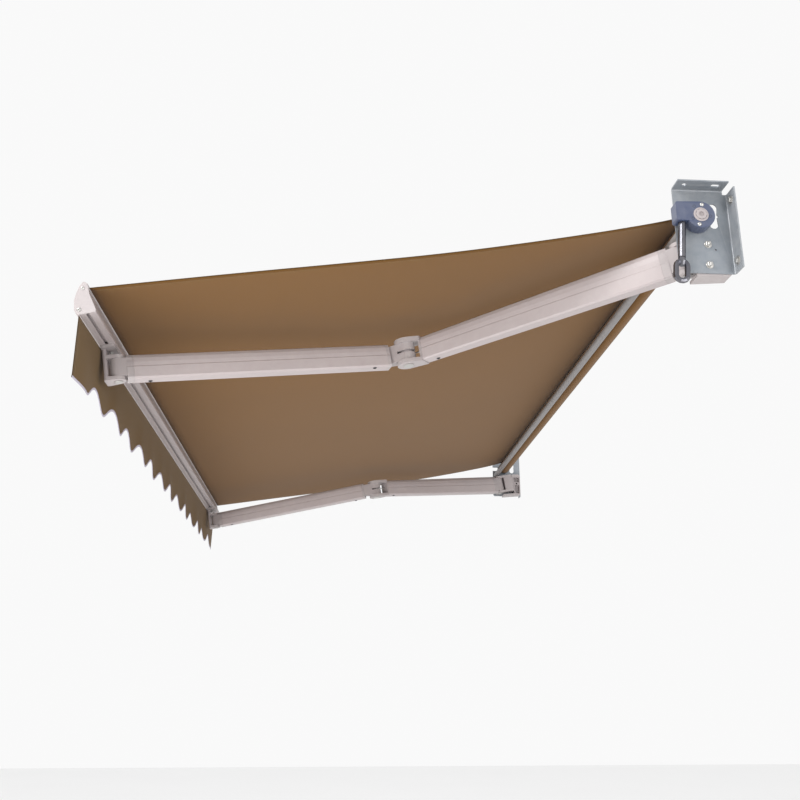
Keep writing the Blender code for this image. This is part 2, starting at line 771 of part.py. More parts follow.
REAR_REACH = sqrt(PIVOT_LENGTH**2 - REAR_OFFSET**2)
FRONT_REACH = sqrt(PIVOT_LENGTH**2 - FRONT_OFFSET**2)
REAR_TUBE_END = REAR_REACH - 0.0520
FRONT_TUBE_START = 0.0620
FRONT_TUBE_END = FRONT_REACH - 0.0420


def elbow_point(hand):
    frame = arm_frame(shoulder_point(hand), rear_direction(hand))
    return frame @ Vector((REAR_REACH, hand * REAR_OFFSET, 0))


def wrist_point(hand):
    frame = arm_frame(elbow_point(hand), front_direction(hand))
    return frame @ Vector((FRONT_REACH, -hand * FRONT_OFFSET, 0))


def rear_arm(hand, frame):
    """Tapered arm tube with the spring and cable inside, and the elbow fork."""
    side = side_name(hand)
    add(f"rear_arm_{side}", rear_arm_mesh(0.058 + GAP, REAR_TUBE_END - GAP), frame)
    height = rear_height(REAR_REACH)
    lug = 0.0105
    offset = hand * REAR_OFFSET
    shape = wrap(
        circle((REAR_REACH, offset), 0.0335), [(REAR_TUBE_END + 0.002, -0.0230), (REAR_TUBE_END + 0.002, 0.0230)]
    )
    lower = slab(shape, lug + 0.002)
    fork = add(f"elbow_fork_{side}", lower, frame, at(0, 0, (lug - 0.002) / 2))
    upper = slab(shape, lug + 0.003)
    fuse(fork, f"fork_upper_{side}", upper, frame, at(0, 0, height - (lug - 0.003) / 2))
    collar = loft(
        [
            [(x, u, v) for u, v in arm_section(REAR_WIDTH, rear_height(x))]
            for x in (REAR_TUBE_END, REAR_REACH - 0.0440)
        ]
    )
    fuse(fork, f"fork_collar_{side}", collar, frame)
    spigot = rounded_box((-0.0180, 0.007), (0.0180, height - 0.025), 0.004, 2)
    fuse(fork, f"fork_spigot_{side}", slab(spigot, 0.050), frame, at(REAR_TUBE_END - 0.024, 0, 0) @ ALONG_X)
    cut(fork, f"fork_bore_{side}", cylinder(0.0073, 0.3, 16), frame, at(REAR_REACH, offset, 0))
    middle = height / 2
    passage = cylinder(0.0042, 0.16, 8)
    cut(fork, f"fork_passage_{side}", passage, frame, at(REAR_TUBE_END, cable_line(hand), middle) @ ALONG_X)
    pivot_pin(f"elbow_pin_{side}", frame, REAR_REACH, offset, -0.002, height + 0.003, 0.0070, 0.0165)
    spring_and_cable(hand, side, frame, middle)


def cable_line(hand):
    """Return how far the cable lies off the arm's centre line, where it meets the drum."""
    return hand * (REAR_OFFSET - 0.0220)


def spring_and_cable(hand, side, frame, middle):
    """Tension spring hooked to a plug in the arm, and the cable that it pulls round the elbow."""
    start = 0.150
    end = 0.450
    turns = 11
    per_turn = 6
    radius = 0.0135
    count = turns * per_turn
    line = cable_line(hand)
    points = []
    for i in range(count + 1):
        angle = tau * i / per_turn
        x = start + (end - start) * i / count
        points.append((x, line + radius * cos(angle), middle + radius * sin(angle)))
    add(f"arm_spring_{side}", rod(points, 0.0026, 1), frame)
    drum = 0.0220
    wrapped = []
    for i in range(7):
        angle = radians(-90 + 10 * i)
        wrapped.append(
            (REAR_REACH + drum * cos(angle), hand * (REAR_OFFSET + drum * sin(angle)), middle)
        )
    straight = [(end + 0.012, line, middle)]
    add(f"arm_cable_{side}", rod(straight + wrapped, 0.0020, 1), frame)


def front_arm(hand, frame):
    """Elbow tongue with its cable drum, the straight arm tube and the wrist knuckle."""
    side = side_name(hand)
    centre = -hand * FRONT_OFFSET
    height = FRONT_HEIGHT
    tongue_low = 0.0108
    tongue_high = rear_height(REAR_REACH) - 0.0108
    near = centre - hand * 0.0205
    far = centre + hand * 0.0060
    shape = wrap(circle((0, 0), 0.0270), [(FRONT_TUBE_START - 0.004, near), (FRONT_TUBE_START - 0.004, far)])
    tongue = add(
        f"elbow_tongue_{side}", slab(shape, tongue_high - tongue_low), frame,
        at(0, 0, (tongue_high + tongue_low) / 2),
    )
    section = arm_section(FRONT_WIDTH, height)
    collar = slab([(u + centre, v) for u, v in section], 0.010)
    fuse(tongue, f"tongue_collar_{side}", collar, frame, at(FRONT_TUBE_START - 0.005, 0, 0) @ ALONG_X)
    spigot = rounded_box((centre - 0.0163, 0.007), (centre + 0.0163, height - 0.024), 0.004, 2)
    fuse(tongue, f"tongue_spigot_{side}", slab(spigot, 0.050), frame, at(FRONT_TUBE_START + 0.020, 0, 0) @ ALONG_X)
    middle = rear_height(REAR_REACH) / 2
    groove = slab(circle((0, 0), 0.034, 12), 0.0070, (circle((0, 0), 0.0192, 16),))
    cut(tongue, f"tongue_groove_{side}", groove, frame, at(0, 0, middle))
    cut(tongue, f"tongue_bore_{side}", cylinder(0.0073, 0.3, 16), frame)
    length = FRONT_TUBE_END - FRONT_TUBE_START - 2 * GAP
    inner = arm_section(FRONT_WIDTH - 2 * ARM_WALL, height - 2 * ARM_WALL, ARM_WALL)
    tube = slab(section, length, (inner,))
    add(
        f"front_arm_{side}", tube, frame,
        at((FRONT_TUBE_START + FRONT_TUBE_END) / 2, centre, 0) @ ALONG_X,
    )
    knuckle_low = 0.0110
    knuckle_high = height - 0.0110
    eye_shape = wrap(
        circle((FRONT_REACH, centre), 0.0190),
        [(FRONT_TUBE_END + 0.004, centre - 0.0195), (FRONT_TUBE_END + 0.004, centre + 0.0195)],
    )
    knuckle = add(
        f"wrist_knuckle_{side}", slab(eye_shape, knuckle_high - knuckle_low), frame, at(0, 0, height / 2)
    )
    end_x = FRONT_REACH - 0.0235
    collar_length = end_x - FRONT_TUBE_END
    end_collar = slab([(u + centre, v) for u, v in section], collar_length)
    fuse(
        knuckle, f"wrist_collar_{side}", end_collar, frame,
        at(FRONT_TUBE_END + collar_length / 2, 0, 0) @ ALONG_X,
    )
    fuse(knuckle, f"wrist_spigot_{side}", slab(spigot, 0.050), frame, at(FRONT_TUBE_END - 0.020, 0, 0) @ ALONG_X)
    cut(knuckle, f"wrist_bore_{side}", cylinder(0.0068, 0.3, 16), frame, at(FRONT_REACH, centre, 0))


def wrist_bracket(hand):
    """Bracket that hangs from the bar's slot and holds the arm's end between two lugs."""
    side = side_name(hand)
    place = arm_frame(wrist_point(hand), DOWN_SLOPE)
    frame = axis_empty(f"wrist_{side}_axis", None, place)
    lug = 0.0105
    web_rear = 0.0235
    web_front = 0.0350
    inner = 0.0270
    outer = 0.0230
    low_side, high_side = (-inner, outer) if hand > 0 else (-outer, inner)
    nose = circle((0, 0), 0.0205)
    lug_shape = wrap(nose, [(web_rear + 0.004, low_side), (web_rear + 0.004, high_side)])
    bracket = add(f"wrist_bracket_{side}", slab(lug_shape, lug), frame, at(0, 0, lug / 2))
    fuse(bracket, f"bracket_upper_{side}", slab(lug_shape, lug), frame, at(0, 0, FRONT_HEIGHT - lug / 2))
    web = rounded_box((web_rear, low_side), (web_front, high_side), 0.005)
    web_top = FRONT_HEIGHT + 0.0185
    fuse(bracket, f"bracket_web_{side}", slab(web, web_top), frame, at(0, 0, web_top / 2))
    cut(bracket, f"bracket_bore_{side}", cylinder(0.0068, 0.3, 16), frame)
    foot_inner = -0.060
    foot_outer = 0.042
    foot_low, foot_high = (foot_inner, foot_outer) if hand > 0 else (-foot_outer, -foot_inner)
    foot = rounded_box((0.0130, foot_low), (0.0510, foot_high), 0.006)
    fuse(bracket, f"bracket_foot_{side}", slab(foot, FOOT_THICKNESS), None, bar_seat(hand) @ at(0, 0, -FOOT_THICKNESS / 2))
    cut(bracket, f"bracket_hole_{side}", cylinder(0.0036, 0.03, 12), None, bolt_place(hand))
    pivot_pin(f"wrist_pin_{side}", frame, 0, 0, 0.0, FRONT_HEIGHT, 0.0065, 0.0115)
    return frame


def bar_seat(hand):
    """Frame on the bar's underside, over the wrist: X to the front, Y along the bar, Z up."""
    rear = Vector((0, *BAR_SECTION[-1]))
    front = Vector((0, *BAR_FRONT[0]))
    forward = (front - rear).normalized()
    along = Vector((1, 0, 0))
    up = forward.cross(along)
    frame = Matrix((forward, along, up)).transposed().to_4x4()
    wrist = wrist_point(hand)
    seat = Vector((wrist.x, 0, 0)) + rear - forward * SEAT_BACK - up * GAP
    return Matrix.Translation(seat) @ frame


# Front bar and cloth

def front_bar():
    """Hollow front bar with a slot along its foot, and its end caps."""
    slide = axis_empty("front_bar_axis", None, at(0, BAR_CENTRE_Y, BAR_BOTTOM_Z))
    rear = Vector(BAR_SECTION[-1])
    front = Vector(BAR_FRONT[0])
    forward = (front - rear).normalized()
    inward = Vector((forward.y, -forward.x))
    middle = (rear + front) / 2
    mouth = SLOT_MOUTH / 2
    wide = SLOT_WIDTH / 2
    lip = BAR_WALL
    deep = SLOT_DEPTH
    slot = [
        middle + forward * u + inward * v
        for u, v in ((-mouth, 0), (-mouth, lip), (-wide, lip), (-wide, deep), (wide, deep), (wide, lip), (mouth, lip), (mouth, 0))
    ]
    outline = [*BAR_SECTION, *[tuple(p) for p in slot], *BAR_FRONT]
    shifted = [(y - BAR_CENTRE_Y, z - BAR_BOTTOM_Z) for y, z in outline]
    solid = [(y - BAR_CENTRE_Y, z - BAR_BOTTOM_Z) for y, z in (*BAR_SECTION, *BAR_FRONT)]
    hollow = bar_hollow(solid, middle - Vector((BAR_CENTRE_Y, BAR_BOTTOM_Z)), forward, inward)
    add("front_bar", slab(shifted, 2 * BAR_HALF, (hollow,)), slide, ALONG_X)
    for hand in (1, -1):
        x = hand * (BAR_HALF + GAP + CAP_THICKNESS / 2)
        cap = add(f"bar_end_cap_{side_name(hand)}", slab(solid, CAP_THICKNESS), slide, at(x, 0, 0) @ ALONG_X)
        bevel(cap, 0.0008, 60)
    return slide


def bar_hollow(solid, middle, forward, inward):
    """Return the bar's inner outline: its skin drawn in by the wall, over the slot's roof."""
    roof = SLOT_DEPTH + BAR_WALL
    drawn = []
    count = len(solid)
    for i in range(count):
        before = Vector(solid[i - 1])
        here = Vector(solid[i])
        after = Vector(solid[(i + 1) % count])
        side = (after - before).normalized()
        drawn.append(here + Vector((side.y, -side.x)) * BAR_WALL)
    kept = [p for p in drawn if (p - middle).dot(inward) > roof]
    floor_rear = middle - forward * 0.0148 + inward * roof
    floor_front = middle + forward * 0.0250 + inward * roof
    split = next(i for i, p in enumerate(kept) if (p - middle).dot(forward) > 0.02 and i > 3)
    loop = kept[:split] + [floor_rear, floor_front] + kept[split:]
    return [tuple(p) for p in loop]


def bolt_place(hand):
    """Place of the bolt: on the slot's middle, a little outside the wrist pin."""
    middle = (Vector(BAR_FRONT[0]) - Vector(BAR_SECTION[-1])).length / 2 + SEAT_BACK
    return bar_seat(hand) @ at(middle, hand * BOLT_OFFSET, 0)


def slot_bolt(hand):
    """Hammer-head bolt that clamps the bracket's foot to the bar's slot."""
    side = side_name(hand)
    place = bolt_place(hand)
    head = slab(rounded_box((-0.0070, -0.0110), (0.0070, 0.0110), 0.003, 2), 0.0036)
    bolt = add(f"slot_bolt_{side}", head, None, place @ at(0, 0, BAR_WALL + 0.0026))
    fuse(bolt, f"bolt_stem_{side}", cylinder(0.0032, 0.0180, 12), None, place @ at(0, 0, -0.0045))
    nut = cylinder(0.0062, 0.0045, 6)
    fuse(bolt, f"bolt_nut_{side}", nut, None, place @ at(0, 0, -FOOT_THICKNESS - GAP - 0.00225))


def canopy():
    """Main cloth, which leaves the top of the roll and sags a little on its way to the bar."""
    line = thick_strip(list(CLOTH_LINE), CLOTH_THICKNESS)
    add("canopy", slab(line, 2 * CLOTH_HALF), None, ALONG_X)


def valance():
    """Front cloth with a wavy lower edge, which hangs from the bar."""
    step = WAVE_LENGTH / 8
    low_z = WAVE_MIDDLE_Z - WAVE_HEIGHT
    edge = [(CLOTH_HALF, low_z)]
    count = ceil((FIRST_LOW_X - LAST_LOW_X) / step - 0.001)
    for i in range(count + 1):
        x = FIRST_LOW_X - step * i
        phase = tau * (x - FIRST_LOW_X) / WAVE_LENGTH
        edge.append((x, WAVE_MIDDLE_Z - WAVE_HEIGHT * cos(phase)))
    edge.append((-CLOTH_HALF, low_z))
    outline = [*edge, (-CLOTH_HALF, VALANCE_TOP_Z), (CLOTH_HALF, VALANCE_TOP_Z)]
    centred = [(x, z - BAR_BOTTOM_Z) for x, z in outline]
    upright = Matrix(((1, 0, 0), (0, 0, -1), (0, 1, 0))).to_4x4()
    slide = bpy.data.objects["front_bar_axis"]
    add("valance", slab(centred, CLOTH_THICKNESS), slide, at(0, VALANCE_Y - BAR_CENTRE_Y, 0) @ upright)


def build():
    clear_scene()
    tie_bar()
    roller()
    idler_bearing()
    gearbox()
    front_bar()
    for hand in (1, -1):
        side = side_name(hand)
        end_plate(hand)
        frame = shoulder(hand)
        rear_arm(hand, frame)
        elbow = axis_empty(f"front_arm_{side}_axis", None, arm_frame(elbow_point(hand), front_direction(hand)))
        front_arm(hand, elbow)
        wrist_bracket(hand)
        slot_bolt(hand)
    canopy()
    valance()
    bpy.context.view_layer.update()


build()
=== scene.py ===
from math import cos, pi, radians, sin, tau

import bmesh
import bpy
import numpy as np
from mathutils import Matrix, Vector


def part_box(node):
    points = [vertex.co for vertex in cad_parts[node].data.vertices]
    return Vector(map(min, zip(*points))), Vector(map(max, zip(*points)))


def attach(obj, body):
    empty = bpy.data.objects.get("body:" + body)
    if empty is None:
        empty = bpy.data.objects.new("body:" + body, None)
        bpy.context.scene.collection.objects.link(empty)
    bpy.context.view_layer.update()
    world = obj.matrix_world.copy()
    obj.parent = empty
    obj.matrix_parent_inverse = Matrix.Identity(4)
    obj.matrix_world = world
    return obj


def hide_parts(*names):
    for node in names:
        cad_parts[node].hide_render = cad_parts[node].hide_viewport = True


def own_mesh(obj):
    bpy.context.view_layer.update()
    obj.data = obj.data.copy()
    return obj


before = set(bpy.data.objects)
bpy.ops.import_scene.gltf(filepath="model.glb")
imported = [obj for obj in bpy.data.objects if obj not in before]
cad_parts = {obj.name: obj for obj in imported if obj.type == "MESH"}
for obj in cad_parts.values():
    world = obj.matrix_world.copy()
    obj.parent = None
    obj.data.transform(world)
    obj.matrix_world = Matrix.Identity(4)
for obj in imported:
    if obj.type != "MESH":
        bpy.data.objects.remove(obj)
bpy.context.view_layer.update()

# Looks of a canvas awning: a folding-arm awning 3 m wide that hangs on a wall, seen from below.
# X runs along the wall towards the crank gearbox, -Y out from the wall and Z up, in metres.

# Camera, solved from the photograph
CAMERA_PLACE = (3.6054, -1.0608, -1.2216)
CAMERA_RIGHT = (0.0741, 0.9973, 0.0)
CAMERA_UP = (0.3043, -0.0225, 0.9523)
FOCAL_PIXELS = 918.46
PICTURE_PIXELS = 800
SENSOR = 36.0
FLOOR_Z = -2.45

# Cloth
CLOTH_THICKNESS = 0.0009
THREAD_PITCH = 0.0011
HEM_WIDTH = 0.022
STITCH_LENGTH = 0.0045
ROLL_LAYER = 0.0013
RIPPLE_HEIGHT = 0.0035
BINDING_HEIGHT = 0.0075
BINDING_THICKNESS = 0.0024

# The valance's scallops: one wave, flat outside its first and last low point
WAVE_LENGTH = 0.200
WAVE_HEIGHT = 0.0213
FIRST_LOW_X = 1.2827
LAST_LOW_X = -1.3173

# Arm plane
SLOPE = radians(9.52)
NORMAL = Vector((0.0, -sin(SLOPE), cos(SLOPE)))


# Meshes

def keep(name, mesh, body, slot, *materials):
    """Show a mesh as a piece that rides on a body."""
    made = bpy.data.objects.new(name, mesh)
    bpy.context.scene.collection.objects.link(made)
    for used in materials:
        mesh.materials.append(used)
    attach(made, body)
    return made


def grid_mesh(name, points, flat=None, closed=False):
    """Join a numpy grid of points (rows, columns, 3) with faces; flat gives each point's place on the cut cloth."""
    rows, columns = points.shape[:2]
    index = np.arange(rows * columns).reshape(rows, columns)
    if closed:
        index = np.concatenate([index, index[:, :1]], axis=1)
    corners = np.stack([index[:-1, :-1], index[:-1, 1:], index[1:, 1:], index[1:, :-1]], axis=-1).reshape(-1, 4)
    mesh = bpy.data.meshes.new(name)
    mesh.from_pydata(points.reshape(-1, 3).tolist(), [], corners.tolist())
    if flat is not None:
        layer = mesh.uv_layers.new(name="flat")
        loops = np.empty(len(mesh.loops), dtype=np.int32)
        mesh.loops.foreach_get("vertex_index", loops)
        layer.data.foreach_set("uv", flat.reshape(-1, 2)[loops].ravel())
    mesh.shade_smooth()
    return mesh


def turned(profile, steps=24, sharp=30):
    """Turn a profile of (radius, height) points about Z: x = r cos a, y = r sin a."""
    profile = np.array(profile)
    angles = np.arange(steps) * tau / steps
    points = np.stack(
        [
            profile[:, :1] * np.cos(angles), profile[:, :1] * np.sin(angles),
            np.repeat(profile[:, 1:], steps, axis=1),
        ],
        axis=-1,
    )
    mesh = grid_mesh("turned", points, closed=True)
    work = bmesh.new()
    work.from_mesh(mesh)
    bmesh.ops.remove_doubles(work, verts=work.verts, dist=0.00001)
    bmesh.ops.recalc_face_normals(work, faces=work.faces)
    work.to_mesh(mesh)
    work.free()
    mesh.set_sharp_from_angle(angle=radians(sharp))
    return mesh


def joined(name, meshes_and_places):
    """Put meshes together in one, each at its own place."""
    work = bmesh.new()
    for mesh, place in meshes_and_places:
        copy = mesh.copy()
        copy.transform(place)
        work.from_mesh(copy)
        bpy.data.meshes.remove(copy)
    mesh = bpy.data.meshes.new(name)
    work.to_mesh(mesh)
    work.free()
    mesh.shade_smooth()
    mesh.set_sharp_from_angle(angle=radians(30))
    return mesh


def along(direction, place):
    """Return a frame whose Z axis points along a direction."""
    turn = Vector((0, 0, 1)).rotation_difference(Vector(direction)).to_matrix().to_4x4()
    return Matrix.Translation(place) @ turn


# Node groups and materials

def group(name, inputs, outputs):
    """Start a shader node group with sockets: name, type and default."""
    tree = bpy.data.node_groups.new(name, "ShaderNodeTree")
    for direction, sockets in (("INPUT", inputs), ("OUTPUT", outputs)):
        for label, kind, default in sockets:
            socket = tree.interface.new_socket(name=label, in_out=direction, socket_type=kind)
            if default is not None:
                socket.default_value = default
    return tree, tree.nodes.new("NodeGroupInput"), tree.nodes.new("NodeGroupOutput")


class Tree:
    """Short way to add and join shader nodes."""

    def __init__(self, tree):
        self.tree = tree

    def node(self, kind, settings=None, **inputs):
        made = self.tree.nodes.new(kind)
        for key, value in (settings or {}).items():
            setattr(made, key, value)
        for key, value in inputs.items():
            self.set(made, key, value)
        return made

    def set(self, node, key, value):
        label = int(key[1:]) if key[0] == "_" and key[1:].isdigit() else key.replace("_", " ")
        socket = node.inputs[label]
        if isinstance(value, bpy.types.NodeSocket):
            self.tree.links.new(value, socket)
        else:
            socket.default_value = value

    def math(self, operation, first, second=0.0, clamp=False):
        made = self.node("ShaderNodeMath", {"operation": operation, "use_clamp": clamp}, _0=first, _1=second)
        return made.outputs[0]

    def mix(self, share, first, second, blend="MIX"):
        made = self.node("ShaderNodeMix", {"data_type": "RGBA", "blend_type": blend})
        for socket, value in ((made.inputs[0], share), (made.inputs[6], first), (made.inputs[7], second)):
            if isinstance(value, bpy.types.NodeSocket):
                self.tree.links.new(value, socket)
            else:
                socket.default_value = value
        return made.outputs[2]


def colour(r, g, b):
    return (r, g, b, 1.0)


def finish_group():
    """Group for painted and plated metal: colour drift, fine grain, painted shade in the low places and bright edges.
    """
    tree, given, result = group(
        "metal_finish",
        (
            ("Color", "NodeSocketColor", colour(0.5, 0.5, 0.5)), ("Roughness", "NodeSocketFloat", 0.4),
            ("Metallic", "NodeSocketFloat", 0.0), ("Grain", "NodeSocketFloat", 900.0),
            ("Relief", "NodeSocketFloat", 0.1), ("Drift", "NodeSocketFloat", 0.08),
            ("Wear", "NodeSocketFloat", 0.3),
        ),
        (("Shader", "NodeSocketShader", None),),
    )
    use = Tree(tree)
    place = use.node("ShaderNodeTexCoord").outputs["Object"]
    broad = use.node("ShaderNodeTexNoise", Vector=place, Scale=6.0, Detail=4.0).outputs["Fac"]
    fine = use.node("ShaderNodeTexNoise", Vector=place, Scale=given.outputs["Grain"], Detail=3.0).outputs["Fac"]
    # this noise breaks up both the real edge wear and the painted shade in the hollows, and varies the roughness
    scuff_and_shade_noise = use.node("ShaderNodeTexNoise", Vector=place, Scale=45.0, Detail=6.0, Roughness=0.7).outputs["Fac"]
    drift = use.math("MULTIPLY", use.math("SUBTRACT", broad, 0.5), given.outputs["Drift"])
    brightness = use.math("ADD", 1.0, use.math("MULTIPLY", drift, 2.0))
    toned = use.node("ShaderNodeVectorMath", {"operation": "SCALE"}, _0=given.outputs["Color"], Scale=brightness)
    edge = use.node("ShaderNodeNewGeometry").outputs["Pointiness"]
    edge_range = use.node("ShaderNodeMapRange", Value=edge, From_Min=0.53, From_Max=0.62)
    edge_share = use.math("MULTIPLY", edge_range.outputs[0], given.outputs["Wear"])
    edge_share = use.math("MULTIPLY", edge_share, scuff_and_shade_noise, clamp=True)
    worn = use.mix(edge_share, toned.outputs[0], colour(0.62, 0.60, 0.58))
    # painted shade: concave places (low pointiness) are darkened towards near-black, broken up by noise
    hollow_shade_range = use.node("ShaderNodeMapRange", Value=edge, From_Min=0.47, From_Max=0.40, To_Max=0.35)
    hollow_shaded = use.mix(use.math("MULTIPLY", hollow_shade_range.outputs[0], scuff_and_shade_noise), worn, colour(0.07, 0.06, 0.055))
    rough = use.math("ADD", given.outputs["Roughness"], use.math("MULTIPLY", use.math("SUBTRACT", scuff_and_shade_noise, 0.5), 0.22))
    relief = use.node(
        "ShaderNodeBump", Strength=given.outputs["Relief"], Distance=0.0004, Height=fine
    )
    shader = use.node(
        "ShaderNodeBsdfPrincipled", Base_Color=hollow_shaded, Roughness=rough, Metallic=given.outputs["Metallic"],
        Normal=relief.outputs[0],
    )
    use.tree.links.new(shader.outputs[0], result.inputs[0])
    return tree


def cloth_group():
    """Group for canvas: crossed threads, slubs, and sewn hems along the edges of the cut cloth.

    The weave's height is |sin(pi u / p)| and |sin(pi v / p)|, swapped at each crossing by the sign of
    sin(pi u / p) sin(pi v / p), for a thread pitch p.
    """
    tree, given, result = group(
        "canvas",
        (
            ("Color", "NodeSocketColor", colour(0.2, 0.1, 0.01)), ("Width", "NodeSocketFloat", 2.8),
            ("Length", "NodeSocketFloat", 1.6), ("Side hem", "NodeSocketFloat", 1.0),
            ("Glow", "NodeSocketFloat", 0.06), ("Contact", "NodeSocketFloat", 0.0),
        ),
        (("Shader", "NodeSocketShader", None),),
    )
    use = Tree(tree)
    flat = use.node("ShaderNodeUVMap", {"uv_map": "flat"}).outputs[0]
    split = use.node("ShaderNodeSeparateXYZ", Vector=flat)
    across, down = split.outputs[0], split.outputs[1]
    wave_u = use.math("SINE", use.math("MULTIPLY", across, pi / THREAD_PITCH))
    wave_v = use.math("SINE", use.math("MULTIPLY", down, pi / THREAD_PITCH))
    over = use.math("GREATER_THAN", use.math("MULTIPLY", wave_u, wave_v), 0.0)
    warp = use.math("MULTIPLY", use.math("ABSOLUTE", wave_u), over)
    weft = use.math("MULTIPLY", use.math("ABSOLUTE", wave_v), use.math("SUBTRACT", 1.0, over))
    weave = use.math("ADD", warp, weft)
    slub_place = use.node("ShaderNodeMapping", Vector=flat, Scale=(900.0, 14.0, 1.0)).outputs[0]
    slub = use.node("ShaderNodeTexNoise", Vector=slub_place, Scale=1.0, Detail=2.0).outputs["Fac"]
    cross_place = use.node("ShaderNodeMapping", Vector=flat, Scale=(10.0, 700.0, 1.0)).outputs[0]
    cross = use.node("ShaderNodeTexNoise", Vector=cross_place, Scale=1.0, Detail=2.0).outputs["Fac"]
    blotch = use.node("ShaderNodeTexNoise", Vector=flat, Scale=2.2, Detail=3.0).outputs["Fac"]
    edge_u = use.math("SUBTRACT", use.math("MULTIPLY", given.outputs["Width"], 0.5), use.math("ABSOLUTE", across))
    in_hem = use.math("MULTIPLY", use.math("LESS_THAN", edge_u, HEM_WIDTH), given.outputs["Side hem"])
    stitch_line = use.math("COMPARE", edge_u, HEM_WIDTH - 0.003)
    stitch_line.node.inputs[2].default_value = 0.0007
    beat = use.math("GREATER_THAN", use.math("SINE", use.math("MULTIPLY", down, tau / STITCH_LENGTH)), -0.45)
    stitch = use.math("MULTIPLY", use.math("MULTIPLY", stitch_line, beat), given.outputs["Side hem"])
    threads = use.math("ADD", use.math("MULTIPLY", slub, 0.5), use.math("MULTIPLY", cross, 0.5))
    tone = use.math("ADD", 0.78, use.math("MULTIPLY", threads, 0.34))
    tone = use.math("MULTIPLY", tone, use.math("ADD", 0.94, use.math("MULTIPLY", blotch, 0.12)))
    tone = use.math("MULTIPLY", tone, use.math("ADD", 0.90, use.math("MULTIPLY", weave, 0.12)))
    tone = use.math("MULTIPLY", tone, use.math("SUBTRACT", 1.0, use.math("MULTIPLY", in_hem, 0.16)))
    rim = use.node("ShaderNodeMapRange", Value=edge_u, From_Min=0.0055, From_Max=0.0025).outputs[0]
    tone = use.math("MULTIPLY", tone, use.math("SUBTRACT", 1.0, use.math("MULTIPLY", rim, 0.45)))
    toned = use.node("ShaderNodeVectorMath", {"operation": "SCALE"}, _0=given.outputs["Color"], Scale=tone)
    sewn = use.mix(stitch, toned.outputs[0], colour(0.30, 0.17, 0.04))
    height = use.math("ADD", weave, use.math("MULTIPLY", threads, 0.6))
    height = use.math("ADD", height, use.math("MULTIPLY", stitch, 1.5))
    relief = use.node("ShaderNodeBump", Strength=0.35, Distance=0.0003, Height=height)
    shader = use.node(
        "ShaderNodeBsdfPrincipled", Base_Color=sewn, Roughness=0.86, Normal=relief.outputs[0],
        Sheen_Weight=0.12, Sheen_Roughness=0.6,
    )
    shader.inputs["Specular IOR Level"].default_value = 0.25
    through = use.node("ShaderNodeBsdfTranslucent", Color=sewn, Normal=relief.outputs[0])
    both = use.node("ShaderNodeMixShader", Fac=given.outputs["Glow"])
    use.tree.links.new(shader.outputs[0], both.inputs[1])
    use.tree.links.new(through.outputs[0], both.inputs[2])
    use.tree.links.new(both.outputs[0], result.inputs[0])
    return tree


METAL = finish_group()
CANVAS = cloth_group()


def wrapped(name, tree, **values):
    """Return a material made of one node group with its own values."""
    made = bpy.data.materials.new(name)
    made.use_nodes = True
    made.node_tree.nodes.clear()
    use = Tree(made.node_tree)
    inner = use.node("ShaderNodeGroup", {"node_tree": tree}, **values)
    output = use.node("ShaderNodeOutputMaterial")
    made.node_tree.links.new(inner.outputs[0], output.inputs[0])
    return made


ARM_PAINT = wrapped("arm_paint", METAL, Color=colour(0.37, 0.315, 0.315), Roughness=0.42, Relief=0.10, Wear=0.25)
CASTING = wrapped("casting_paint", METAL, Color=colour(0.33, 0.29, 0.29), Roughness=0.50, Relief=0.35, Grain=420.0, Wear=0.35)
COVER = wrapped("cover_plastic", METAL, Color=colour(0.38, 0.34, 0.34), Roughness=0.55, Relief=0.15, Grain=1400.0)
PLATE = wrapped("plate_paint", METAL, Color=colour(0.16, 0.185, 0.215), Roughness=0.38, Metallic=0.25, Relief=0.12, Wear=0.5)
GEARBOX = wrapped("gearbox_paint", METAL, Color=colour(0.035, 0.05, 0.105), Roughness=0.36, Relief=0.30, Grain=500.0, Wear=0.35)
TIE = wrapped("tie_paint", METAL, Color=colour(0.14, 0.13, 0.13), Roughness=0.45, Relief=0.10)
TUBE = wrapped("galvanised_tube", METAL, Color=colour(0.45, 0.46, 0.47), Roughness=0.40, Metallic=0.85, Relief=0.10, Drift=0.25)
ZINC = wrapped("zinc_plate", METAL, Color=colour(0.50, 0.49, 0.47), Roughness=0.32, Metallic=0.9, Relief=0.08, Drift=0.2)
DARK_STEEL = wrapped("dark_steel", METAL, Color=colour(0.11, 0.11, 0.13), Roughness=0.24, Metallic=0.9, Relief=0.05, Drift=0.25)
# near-black finish: real black steel on the arm screws, painted shade in the gearbox drillings
BLACK_STEEL_AND_HOLE_SHADE = wrapped("black_steel_and_hole_shade", METAL, Color=colour(0.030, 0.030, 0.034), Roughness=0.40, Metallic=0.6, Relief=0.08)
BRONZE = wrapped("bronze", METAL, Color=colour(0.42, 0.29, 0.12), Roughness=0.35, Metallic=0.9, Relief=0.05)
PLASTIC = wrapped("bearing_plastic", METAL, Color=colour(0.10, 0.10, 0.11), Roughness=0.55, Relief=0.25, Grain=1200.0, Wear=0.1)
BINDING = wrapped("binding_tape", METAL, Color=colour(0.50, 0.47, 0.55), Roughness=0.85, Relief=0.5, Grain=1800.0, Wear=0.0)

NODE_LOOKS = (
    ("end_plate", PLATE), ("gearbox", GEARBOX), ("tie_bar", TIE), ("idler", PLASTIC), ("pin_", ZINC),
    ("slot_bolt", ZINC), ("worm_shaft", DARK_STEEL), ("crank_eye", DARK_STEEL), ("worm_wheel", BRONZE),
    ("roller_tube", TUBE), ("roller_plug", TUBE), ("spring", DARK_STEEL), ("cable", ZINC),
    ("bar_end_cap", COVER), ("rear_arm", ARM_PAINT), ("front_arm", ARM_PAINT), ("front_bar", ARM_PAINT),
    ("shoulder", CASTING), ("elbow", CASTING), ("wrist", CASTING),
)


def dress_frame():
    """Give each CAD node the finish of the first name in the list that it holds."""
    for name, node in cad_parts.items():
        for key, look in NODE_LOOKS:
            if key in name:
                node.data.materials.clear()
                node.data.materials.append(look)
                break


# Cloth pieces

